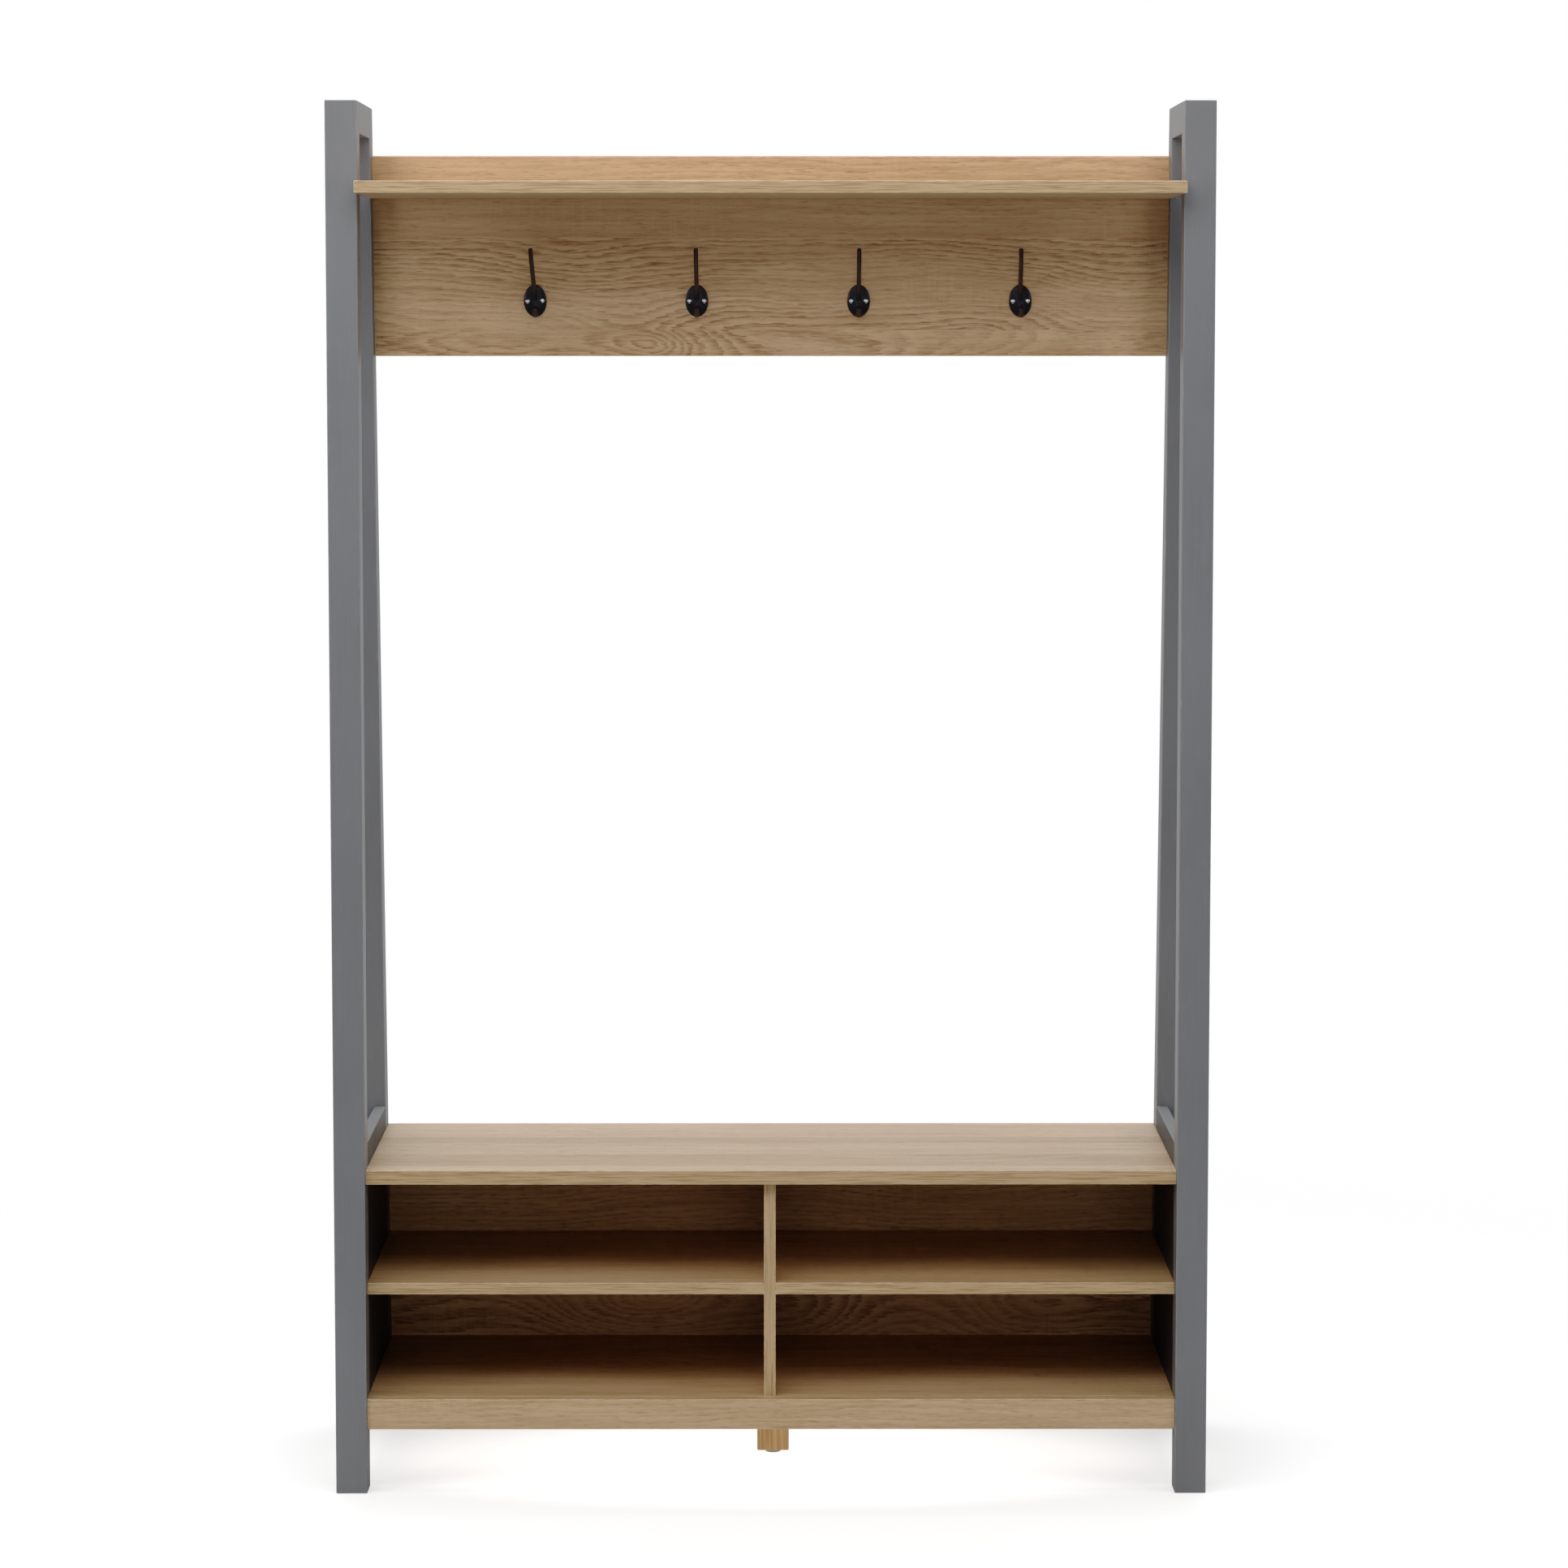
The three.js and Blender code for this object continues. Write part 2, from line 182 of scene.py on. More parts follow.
class Value:
    """A number that varies over a surface. Arithmetic on it adds Math nodes."""

    def __init__(self, graph, socket):
        self.graph = graph
        self.socket = socket

    def math(self, operation, *others):
        return self.graph.math(operation, self, *others)

    def __add__(self, other):
        return self.math("ADD", other)

    def __sub__(self, other):
        return self.math("SUBTRACT", other)

    def __mul__(self, other):
        return self.math("MULTIPLY", other)

    def __truediv__(self, other):
        return self.math("DIVIDE", other)

    def __pow__(self, other):
        return self.math("POWER", other)

    def above(self, edge):
        return self.math("GREATER_THAN", edge)

    def part(self):
        """What is left of it past the whole number below."""
        return self.math("FRACT")

    def between(self, low, high, to_low=0.0, to_high=1.0):
        """Smoothly from to_low to to_high as it goes from low to high, and level beyond."""
        node = self.graph.add("ShaderNodeMapRange", interpolation_type="SMOOTHSTEP")
        for name, value in (
            ("Value", self), ("From Min", low), ("From Max", high), ("To Min", to_low), ("To Max", to_high),
        ):
            self.graph.feed(node.inputs[name], value)
        return Value(self.graph, node.outputs["Result"])


class Graph:
    """A material whose nodes are added and joined by short calls."""

    def __init__(self, name, metallic=0.0):
        self.material = bpy.data.materials.new(name)
        self.material.use_nodes = True
        self.tree = self.material.node_tree
        self.shader = self.tree.nodes["Principled BSDF"]
        self.shader.inputs["Metallic"].default_value = metallic

    def add(self, kind, **settings):
        node = self.tree.nodes.new(kind)
        for name, value in settings.items():
            setattr(node, name, value)
        return node

    def feed(self, socket, value):
        if isinstance(value, Value):
            self.tree.links.new(value.socket, socket)
        else:
            socket.default_value = value

    def math(self, operation, *values):
        node = self.add("ShaderNodeMath", operation=operation)
        for socket, value in zip(node.inputs, values):
            self.feed(socket, value)
        return Value(self, node.outputs[0])

    def place(self):
        """X, Y and Z in the row frame, in metres."""
        coordinates = self.add("ShaderNodeTexCoord").outputs["Object"]
        split = self.add("ShaderNodeSeparateXYZ")
        self.tree.links.new(coordinates, split.inputs[0])
        return [Value(self, socket) for socket in split.outputs]

    def noise(self, x, y, z=0.0, detail=2.0, roughness=0.5):
        """Smooth noise from 0 to 1, at coordinates that are already scaled."""
        vector = self.add("ShaderNodeCombineXYZ")
        for socket, value in zip(vector.inputs, (x, y, z)):
            self.feed(socket, value)
        node = self.add("ShaderNodeTexNoise")
        self.tree.links.new(vector.outputs[0], node.inputs["Vector"])
        node.inputs["Scale"].default_value = 1.0
        node.inputs["Detail"].default_value = detail
        node.inputs["Roughness"].default_value = roughness
        return Value(self, node.outputs["Fac"])

    def cells(self, x, y, z, feature="F1"):
        """The distance to the nearest of scattered points, one for each unit of the coordinates."""
        vector = self.add("ShaderNodeCombineXYZ")
        for socket, value in zip(vector.inputs, (x, y, z)):
            self.feed(socket, value)
        node = self.add("ShaderNodeTexVoronoi", feature=feature)
        self.tree.links.new(vector.outputs[0], node.inputs["Vector"])
        node.inputs["Scale"].default_value = 1.0
        return Value(self, node.outputs["Distance"])

    def attribute(self, name):
        node = self.add("ShaderNodeAttribute", attribute_name=name)
        return Value(self, node.outputs["Fac"])

    def blend(self, amount, first, second):
        """From the first colour to the second. Each is three numbers or an earlier blend."""
        node = self.add("ShaderNodeMix", data_type="RGBA")
        self.feed(node.inputs[0], amount)
        for socket, colour in zip(node.inputs[6:8], (first, second)):
            self.feed(socket, colour if isinstance(colour, Value) else (*colour, 1))
        return Value(self, node.outputs[2])

    def finish(self, colour, roughness, height, depth, specular=0.5):
        """Joins up the shader. height, from 0 to 1, is raised by depth in metres."""
        bump = self.add("ShaderNodeBump")
        bump.inputs["Strength"].default_value = 1.0
        bump.inputs["Distance"].default_value = depth
        self.feed(bump.inputs["Height"], height)
        self.tree.links.new(bump.outputs["Normal"], self.shader.inputs["Normal"])
        self.feed(self.shader.inputs["Base Color"], colour)
        self.feed(self.shader.inputs["Roughness"], roughness)
        self.shader.inputs["Specular IOR Level"].default_value = specular
        return self.material


def srgb(red, green, blue):
    """A colour that is given as screen values from 0 to 255."""
    def linear(value):
        share = value / 255
        return share / 12.92 if share <= 0.04045 else ((share + 0.055) / 1.055) ** 2.4
    return tuple(linear(value) for value in (red, green, blue))


# ---- Materials ----

# Light wood, middling wood, dark late wood and pores.
OAK = (srgb(203, 173, 138), srgb(180, 147, 111), srgb(142, 106, 70), srgb(108, 76, 47))
# Painted light: the bench top's oak is paler and greyer than the common one, for the light from above and the
# sheen on its top face.
SHEEN_PALE_OAK = (srgb(209, 185, 156), srgb(190, 163, 132), srgb(148, 117, 84), srgb(116, 88, 60))
# Painted shade: a redder oak for the boards that lie mostly in shade, for the redder look of shaded wood.
SHADE_RED_OAK = (srgb(205, 172, 136), srgb(182, 146, 110), srgb(136, 98, 66), srgb(106, 74, 46))
BAND_LIGHT = srgb(197, 171, 131)
BAND_DARK = srgb(145, 115, 78)
RING_WIDTH = 6.8 * MM  # of the oak's growth rings


def oak_laminate(name, along, across, planks, shades):
    """Printed oak, with its grain along one axis and its planks side by side across it.
    Each plank is (where it ends across the grain, where its tree's heart is, how deep that heart lies,
    how fast the depth changes, how bold its figure is, how dark it is). The darkness is print, and painted
    shade on the hook panel's plank under the upper shelf."""
    light, middling, dark, pore_dark = shades
    graph = Graph(name)
    place = graph.place()
    u, v, w = place[along], place[across], place[3 - along - across]
    steps = [v.above(plank[0]) for plank in planks[:-1]]

    def by_plank(values):
        """A number for each plank, as one value over the whole board."""
        total = graph.math("ADD", 0.0, values[0])
        for step, before, after in zip(steps, values, values[1:]):
            total = total + step * (after - before)
        return total

    number = by_plank([2.3 * i for i in range(len(planks))])
    bold = by_plank([plank[4] for plank in planks])
    bend = graph.noise(u * 2.3 + number, v * 4, w * 4 + number, detail=1.0)
    sway = graph.noise(u * 8 + number, v * 30, w * 30)
    feather = graph.noise(u * 34, v * 480, w * 480, detail=2.0)

    heart = by_plank([plank[1] for plank in planks])
    depth = by_plank([plank[2] for plank in planks]) + u * by_plank([plank[3] for plank in planks])
    reach = v - heart + (sway - 0.5) * 0.014
    deep = depth + (bend - 0.5) * (bold * 0.2 + 0.04)
    radius = (reach * reach + deep * deep) ** 0.5
    spread = graph.noise(radius * 48, number, 0.0)
    ring = (radius / RING_WIDTH + (spread - 0.5) * 2.6 + (feather - 0.5) * 1.0).part()
    late = ring.between(0.15, 0.92) * ring.between(1.0, 0.95)
    patch = graph.noise(u * 2.6, v * 18, number, detail=1.0).between(0.3, 0.65, 0.3, 1.0)
    dashes = graph.noise(u * 50, v * 560, w * 560, detail=2.0).between(0.34, 0.6, 0.3, 1.0)
    figure = late * patch * dashes * (bold * 0.8 + 0.2)

    streak = graph.noise(u * 9 + number, v * 230, w * 230, detail=3.0)
    cloud = graph.noise(u * 2.2, v * 30, w * 30 + number, detail=3.0)
    pore = graph.noise(u * 62, v * 760, w * 760, detail=2.0)
    pores = pore.between(0.54, 0.7) * (figure * 0.5 + 0.5)
    saw = graph.noise(u * 420, v * 14, w * 14, detail=1.0).between(0.48, 0.7)
    sawn = saw * graph.noise(u * 6, v * 13, number).between(0.48, 0.66)

    plank_tone_and_shade = by_plank([plank[5] for plank in planks])
    base = graph.blend((streak - 0.5) * 1.5 + (cloud - 0.5) * 1.5 + plank_tone_and_shade + 0.4, light, middling)
    ringed = graph.blend(figure * 0.85, base, dark)
    worked = graph.blend(sawn * 0.22, ringed, light)
    colour = graph.blend(pores * 0.55, worked, pore_dark)
    roughness = (streak - 0.5) * 0.16 + pores * 0.14 + 0.46
    height = (pores * -0.8) + (figure * -0.25) + streak * 0.3 + 0.8
    return graph.finish(colour, roughness, height, 0.12 * MM, specular=0.45)


def oak_band(name, along, across):
    """The edge strip: coarse straight streaks, greener and duller than the faces."""
    graph = Graph(name)
    place = graph.place()
    u, v, w = place[along], place[across], place[3 - along - across]
    wave = graph.noise(u * 6, v * 60, w * 60)
    lines = graph.noise(u * 16, v * 620 + wave * 2.4, w * 620, detail=2.0, roughness=0.6)
    dashes = graph.noise(u * 60, v * 1300, w * 1300)
    cloud = graph.noise(u * 3, v * 20, w * 20)
    dark = lines.between(0.44, 0.66) * 0.75 + dashes.between(0.55, 0.75) * 0.35
    pale = graph.blend(cloud, BAND_LIGHT, OAK[1])
    colour = graph.blend(dark, pale, BAND_DARK)
    return graph.finish(colour, lines * 0.2 + 0.42, dark * -0.6 + 0.8, 0.1 * MM, specular=0.4)


def oak_arris_highlight(name):
    """The rounded corner between a face and its edge strip, painted paler in broken patches as a highlight
    along the rounding.
    """
    graph = Graph(name)
    x, y, z = graph.place()
    broken = graph.noise(x * 60, y * 200, z * 200, detail=3.0)
    # Painted highlight: the pale colour along the rounded corner stands for light catching it.
    colour = graph.blend(broken.between(0.35, 0.7), srgb(214, 190, 158), OAK[1])
    return graph.finish(colour, broken * 0.2 + 0.35, broken, 0.05 * MM, specular=0.5)


def particleboard():
    """The raw board that shows inside a drilled hole: pressed chips of several tones."""
    graph = Graph("particleboard")
    x, y, z = graph.place()
    chip = graph.cells(x * 420, y * 420, z * 900)
    grain = graph.noise(x * 900, y * 900, z * 900)
    colour = graph.blend(chip * 0.8 + (grain - 0.5) * 0.6, srgb(196, 164, 120), srgb(118, 86, 52))
    return graph.finish(colour, grain * 0.2 + 0.75, chip, 0.4 * MM, specular=0.2)


LEG_RING_WIDTH = 5.2 * MM
LEG_HEART = Vector((0.05, 0.03))  # how far the tree's heart lies from the leg's middle, to the right and back


def leg_wood():
    """Solid wood: rings about a heart beside the leg, so its sides are striped and its end shows arcs."""
    graph = Graph("leg_wood")
    x, y, z = graph.place()
    sway = graph.noise(x * 30, y * 30, z * 14)
    heart = middle("centre_leg").to_2d() + LEG_HEART
    across = x - heart.x + (sway - 0.5) * 0.006
    deep = y - heart.y
    radius = (across * across + deep * deep) ** 0.5
    ring = (radius / LEG_RING_WIDTH).part().between(0.1, 0.95)
    fibre = graph.noise(x * 260, y * 260, z * 9, detail=4.0)
    # Painted light: these wood colours are lightened to make up for the shade under the bottom shelf.
    base = graph.blend(ring * 0.8, srgb(240, 200, 148), srgb(224, 176, 122))
    colour = graph.blend(fibre.between(0.42, 0.75) * 0.6, base, srgb(188, 134, 84))
    return graph.finish(colour, fibre * 0.2 + 0.38, fibre, 0.08 * MM, specular=0.45)


def satin_paint(name, colour, worn, grain_axis=2, roughness=0.42, specular=0.5):
    """Sprayed satin paint over wood: a soft peel, faint grain along the piece and slight clouds of tone."""
    graph = Graph(name)
    place = graph.place()
    along = place[grain_axis]
    across = [place[i] for i in range(3) if i != grain_axis]
    grain = graph.noise(across[0] * 420, across[1] * 420, along * 7, detail=3.0)
    peel = graph.noise(place[0] * 850, place[1] * 850, place[2] * 850, detail=1.0)
    cloud = graph.noise(place[0] * 7, place[1] * 7, place[2] * 5, detail=3.0)
    dark = tuple(c * 0.9 for c in colour)
    light = tuple(c * 1.1 for c in colour)
    toned = graph.blend((cloud - 0.5) * 1.4 + (grain - 0.5) * 0.7 + 0.5, dark, light)
    rubbed = graph.noise(place[0] * 120, place[1] * 120, place[2] * 40, detail=4.0).between(0.5, 0.8)
    mixed = graph.blend(rubbed * worn, toned, tuple(min(c * 1.9, 1) for c in colour))
    rough = (cloud - 0.5) * 0.16 + (peel - 0.5) * 0.1 + roughness
    height = grain * 0.55 + peel * 0.45
    return graph.finish(mixed, rough, height, 0.05 * MM, specular)


def cast_metal():
    """The hooks' dark coating over cast metal, browner on what stands out from the plate as a painted
    highlight where light catches the arm and prong.
    """
    graph = Graph("black_metal")
    x, y, z = graph.place()
    out = graph.attribute("reach")
    cast = graph.noise(x * 520, y * 520, z * 520, detail=4.0)
    patch = graph.noise(x * 90, y * 90, z * 60, detail=3.0)
    coat = graph.blend(patch, srgb(36, 35, 41), srgb(48, 47, 54))
    # Painted highlight: the parts that stand out are tinted brown for the light that catches them.
    highlight_brown = graph.blend(patch, srgb(56, 44, 41), srgb(78, 61, 55))
    colour = graph.blend(out.between(0.003, 0.012) * 0.85, coat, highlight_brown)
    roughness = (cast - 0.5) * 0.2 + patch * 0.1 + 0.34
    graph.shader.inputs["Metallic"].default_value = 0.35
    return graph.finish(colour, roughness, cast, 0.09 * MM, specular=0.5)


def bare_metal(name, light, dark, roughness, size, depth):
    """Plated or cast metal: fine mottle at a size in metres."""
    graph = Graph(name, metallic=1.0)
    x, y, z = graph.place()
    fine = graph.noise(x / size, y / size, z / size, detail=4.0)
    broad = graph.noise(x / size / 7, y / size / 7, z / size / 7, detail=2.0)
    colour = graph.blend(fine * 0.6 + broad * 0.4, light, dark)
    return graph.finish(colour, (broad - 0.5) * 0.25 + roughness, fine, depth)


def moulded_plastic():
    """The glide's plastic: a fine spark finish, darker in the few millimetres nearest the floor."""
    graph = Graph("grey_plastic")
    x, y, z = graph.place()
    spark = graph.noise(x * 1600, y * 1600, z * 1600, detail=2.0)
    cloud = graph.noise(x * 60, y * 60, z * 60)
    # Darker towards the bottom, over the lowest 3 mm.
    low_darkening = z.between(0.0, 0.003, 0.5, 0.0)
    base = graph.blend(cloud * 0.5 + (spark - 0.5) * 0.4 + 0.2, srgb(176, 170, 163), srgb(150, 144, 138))
    colour = graph.blend(low_darkening, base, srgb(120, 114, 106))
    return graph.finish(colour, spark * 0.15 + 0.42, spark, 0.04 * MM)


# ---- Meshes ----

def new_piece(name, mesh, materials, body=TREE, nodes=None):
    """A finished piece that stands for CAD nodes, the one of its own name unless others are given."""
    piece = bpy.data.objects.new(name + ".look", mesh)
    bpy.context.scene.collection.objects.link(piece)
    for material in materials:
        mesh.materials.append(material)
    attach(piece, body)
    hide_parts(*(nodes or [name]))
    return piece


def cad_solid(node):
    """The CAD node's shape with its flat faces whole again."""
    solid = bmesh.new()
    solid.from_mesh(frame["nodes"][node].data)
    bmesh.ops.remove_doubles(solid, verts=solid.verts, dist=0.01 * MM)
    bmesh.ops.dissolve_limit(
        solid, angle_limit=math.radians(0.5), verts=solid.verts, edges=solid.edges,
        use_dissolve_boundaries=False)
    return solid


OUTLINE_EDGE = 10 * MM  # the outline's edges are longer than this, and a drilled hole's are shorter
HOLE_FACE = 300 * MM * MM  # a drilled hole's faces are smaller than this


def eased(solid, radius, segments=3):
    """Rounds the outline's corners and gives the faces that are made. Drilled holes stay sharp."""
    sharp = [
        edge for edge in solid.edges
        if len(edge.link_faces) == 2
        and edge.calc_length() > OUTLINE_EDGE
        and edge.calc_face_angle() > math.radians(60)
    ]
    made = bmesh.ops.bevel(
        solid, geom=sharp, offset=radius, segments=segments, profile=0.5, affect="EDGES", clamp_overlap=True)
    return made["faces"]


def smooth_mesh(solid, name, crease=50):
    """A mesh that is smooth except across edges sharper than crease degrees."""
    for face in solid.faces:
        face.smooth = True
    for edge in solid.edges:
        if len(edge.link_faces) == 2:
            edge.smooth = edge.calc_face_angle() < math.radians(crease)
    mesh = bpy.data.meshes.new(name)
    solid.to_mesh(mesh)
    solid.free()
    return mesh


def weigh_normals(piece):
    """Keeps large flat faces flat where they run into rounded corners."""
    modifier = piece.modifiers.new("flat_faces", "WEIGHTED_NORMAL")
    modifier.keep_sharp = True


def add_board(node, thickness_axis, face, band, arris, core, radius=0.7 * MM):
    """A board: printed faces, edge strips on its narrow sides, pale corners painted as a highlight, and raw
    drilled holes.
    """
    solid = cad_solid(node)
    solid.normal_update()
    for part in solid.faces:
        if part.calc_area() < HOLE_FACE:
            part.material_index = 3
        else:
            part.material_index = 0 if abs(part.normal.dot(thickness_axis)) > 0.9 else 1
    for part in eased(solid, radius):
        part.material_index = 2
    piece = new_piece(node, smooth_mesh(solid, node), [face, band, arris, core])
    weigh_normals(piece)


def add_painted(node, paint, edge_paint, radius, top_light_paint=None):
    """A painted piece: flat faces, rounded corners in the edge paint, and upward faces in the top paint if
    one is given. On the posts and rails the edge paint is lighter, a painted highlight, with rubbed-thin
    spots.
    """
    solid = cad_solid(node)
    solid.normal_update()
    for part in solid.faces:
        part.material_index = 2 if top_light_paint and part.normal.z > 0.9 else 0
    for part in eased(solid, radius, segments=4):
        part.material_index = 1
    piece = new_piece(node, smooth_mesh(solid, node), [paint, edge_paint, top_light_paint or paint])
    weigh_normals(piece)


def ring_of(solid, points):
    """New corners at the points, in their order."""
    return [solid.verts.new(point) for point in points]


def bridge(solid, first, second):
    """A band of faces between two rings of corners."""
    count = len(first)
    for i in range(count):
        j = (i + 1) % count
        solid.faces.new((first[i], first[j], second[j], second[i]))


def lofted(rings):
    """A closed solid through rings of points. Each end is closed by a point at its ring's middle."""
    solid = bmesh.new()
    made = [ring_of(solid, ring) for ring in rings]
    for first, second in zip(made, made[1:]):
        bridge(solid, first, second)
    for ring, flip in ((made[0], True), (made[-1], False)):
        centre = solid.verts.new(sum((v.co for v in ring), Vector()) / len(ring))
        for i in range(len(ring)):
            j = (i + 1) % len(ring)
            corner = (ring[j], ring[i]) if flip else (ring[i], ring[j])
            solid.faces.new((centre, *corner))
    bmesh.ops.recalc_face_normals(solid, faces=solid.faces)
    return solid


def circle(radius_x, radius_y, sides, z=0.0):
    """The points of a level circle or ellipse."""
    return [
        Vector((radius_x * math.cos(a), radius_y * math.sin(a), z))
        for a in (2 * math.pi * i / sides for i in range(sides))
    ]


def turned(profile, sides=48):
    """A turned solid about Z, from (radius, z) points that run upwards."""
    return lofted([circle(r, r, sides, z) for r, z in profile])


def threaded(core, crest, pitch, start, end, taper, sides=20):
    """Rings for a threaded rod along Z, from start up to end, its first taper metres running to a point."""
    steps = max(2, int((end - start) / pitch * 6))
    rings = []
    for step in range(steps + 1):
        z = start + (end - start) * step / steps
        swell = min(1.0, 0.25 + 0.75 * (z - start) / taper) if taper else 1.0
        ring = []
        for i in range(sides):
            turn = i / sides
            phase = (z / pitch - turn) % 1.0
            tooth = 1 - abs(2 * phase - 1)
            radius = (core + (crest - core) * tooth) * swell
            angle = 2 * math.pi * turn
            ring.append(Vector((radius * math.cos(angle), radius * math.sin(angle), z)))
        rings.append(ring)
    return rings


def as_object(solid, name):
    """A scene object for a bmesh or a mesh."""
    mesh = smooth_mesh(solid, name) if isinstance(solid, bmesh.types.BMesh) else solid
    holder = bpy.data.objects.new(name, mesh)
    bpy.context.scene.collection.objects.link(holder)
    return holder


def settled(holder):
    """The mesh that an object's modifiers give. The object goes."""
    bpy.context.view_layer.update()
    shape = holder.evaluated_get(bpy.context.evaluated_depsgraph_get())
    mesh = bpy.data.meshes.new_from_object(shape)
    bpy.data.objects.remove(holder)
    return mesh


def carved(mesh, cutters, name):
    """A mesh with other solids taken out of it."""
    holder = as_object(mesh, name)
    tools = [as_object(cutter, name + "_cutter") for cutter in cutters]
    for tool in tools:
        modifier = holder.modifiers.new("carve", "BOOLEAN")
        modifier.operation = "DIFFERENCE"
        modifier.solver = "EXACT"
        modifier.object = tool
    mesh = settled(holder)
    for tool in tools:
        bpy.data.objects.remove(tool)
    return mesh


def tapered_block(half_x, half_y, top, depth, flare=0.75):
    """A block that narrows as it goes down from the height top."""
    quarters = ((-1, -1), (1, -1), (1, 1), (-1, 1))

    def corners(share, z):
        return [Vector((sx * half_x * share, sy * half_y * share, z)) for sx, sy in quarters]

    return lofted([corners(flare, top - depth), corners(1.0, top), corners(1.0, top + depth)])


def cross_cutters(reach, width, top, depth):
    """The two tapered slots of a cross recess."""
    return [tapered_block(reach, width, top, depth), tapered_block(width, reach, top, depth)]


def recreased(mesh, crease=40):
    """The mesh, smooth except across edges sharper than crease degrees."""
    solid = bmesh.new()
    solid.from_mesh(mesh)
    return smooth_mesh(solid, mesh.name, crease)


def moved(mesh, matrix, name):
    """A copy of the mesh, put in place."""
    copy = mesh.copy()
    copy.name = name
    copy.transform(matrix)
    return copy


# ---- Hook screws, cam fittings, leveller ----

SCREW_SHANK = 16 * MM  # from under the head to the point
SCREW_HEAD = 1.6 * MM
BOLT_IN_BOARD = 36 * MM
BOLT_IN_POST = 11 * MM
LOCK_HEIGHT = 12 * MM


def hook_screw_mesh():
    """A pan-head screw. Its own +Z is out of the head and 0 is where the head seats."""
    rings = threaded(1.15 * MM, 1.7 * MM, 1.5 * MM, -SCREW_SHANK, -1.0 * MM, 3 * MM)
    head = [(1.7, -0.6), (1.7, 0.0), (2.55, 0.0), (2.85, 0.2), (2.9, 0.55), (2.78, 0.95), (2.4, 1.3),
            (1.7, 1.52), (0.9, 1.6)]
    rings += [circle(r * MM, r * MM, 20, z * MM) for r, z in head]
    body = smooth_mesh(lofted(rings), "hook_screw", crease=55)
    recess = cross_cutters(1.75 * MM, 0.42 * MM, SCREW_HEAD, 1.1 * MM)
    return recreased(carved(body, recess, "hook_screw"), 45)


def cam_bolt_mesh():
    """A cam bolt. Its own +X runs out of the board's end, where 0 is, into the post."""
    profile = [(1.2, -36.0), (2.9, -35.8), (3.3, -35.2), (3.3, -33.6), (2.9, -33.0), (2.2, -32.6),
               (2.2, -28.4), (2.9, -27.8), (3.0, -27.2), (3.0, -3.0), (2.7, -2.4), (2.7, -1.0),
               (3.0, -0.6), (3.0, 0.0)]
    rings = [circle(r * MM, r * MM, 20, z * MM) for r, z in profile]
    thread = threaded(2.2 * MM, 3.0 * MM, 1.8 * MM, 0.4 * MM, 10.4 * MM, 0)
    rings += thread + [circle(1.6 * MM, 1.6 * MM, 20, BOLT_IN_POST)]
    solid = lofted(rings)
    solid.transform(Matrix.Rotation(math.pi / 2, 4, "Y"))
    return smooth_mesh(solid, "cam_bolt", crease=55)


def cam_lock_mesh():
    """A cam lock. Its own +Z is out of the face that is turned, where 0 is, and +X points to the bolt."""
    profile = [(6.7, -12.0), (7.2, -11.6), (7.2, -0.5), (7.0, -0.15), (6.7, 0.0), (6.0, 0.0),
               (5.8, -0.35), (3.2, -0.35), (3.0, -0.2)]
    body = smooth_mesh(turned([(r * MM, z * MM) for r, z in profile]), "cam_lock", crease=35)
    channel = turned([(3.7 * MM, -3 * MM), (3.7 * MM, 10 * MM)], 24)
    channel.transform(Matrix.Translation((0, 0, -8.6 * MM)) @ Matrix.Rotation(math.pi / 2, 4, "Y"))
    corners = ((3.9, -1.1), (5.5, 0.0), (3.9, 1.1))
    arrow = lofted([[Vector((x * MM, y * MM, z * MM)) for x, y in corners] for z in (-0.75, 0.2)])
    cutters = [channel, arrow, *cross_cutters(2.9 * MM, 0.85 * MM, -0.2 * MM, 1.9 * MM)]
    return recreased(carved(body, cutters, "cam_lock"))


def add_cam_fittings(steel, zinc):
    """The cam bolts in the posts and the cam locks in the boards, each lock open on its bolt's side."""
    bolt, lock = cam_bolt_mesh(), cam_lock_mesh()
    end_from_middle = (BOLT_IN_BOARD - BOLT_IN_POST) / 2  # from a bolt's middle out to the board's end
    facing = {"bench": -UP, "bottom": -UP, "upper": UP, "hooks": BACK}
    for node in sorted(frame["nodes"]):
        if not node.startswith("cam_"):
            continue
        kind, board, side_name = node.split("_")[1:4]
        up = facing[board]
        out = RIGHT if side_name == "right" else -RIGHT
        across = up.cross(out)
        if kind == "bolt":
            place = axes_at(out, across, up, middle(node) + out * end_from_middle)
            new_piece(node, moved(bolt, place, node), [steel])
        else:
            place = axes_at(out, across, up, middle(node) + up * LOCK_HEIGHT / 2)
            new_piece(node, moved(lock, place, node), [zinc])


def add_glide(plastic):
    """The glide: a foot with a rounded rim, and its threaded stud."""
    low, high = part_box("leg_leveller")
    radius = (high.x - low.x) / 2
    thick = 4.5 * MM
    rim = [(0.35, 0.0), (0.62, 0.0), (0.78, 0.1), (0.9, 0.3), (0.97, 0.58), (1.0, 0.88), (0.97, 0.98),
           (0.9, 1.0)]
    rings = [circle(r * radius, r * radius, 20, z * thick) for r, z in rim]
    rings.append(circle(3.2 * MM, 3.2 * MM, 20, thick))
    rings += threaded(3.1 * MM, 3.8 * MM, 1.25 * MM, thick + 0.2 * MM, high.z - 1 * MM, 0)
    rings.append(circle(2.6 * MM, 2.6 * MM, 20, high.z))
    glide = moved(smooth_mesh(lofted(rings), "leg_leveller", crease=50), under_leg(), "leg_leveller")
    weigh_normals(new_piece("leg_leveller", glide, [plastic], LEVELLER))


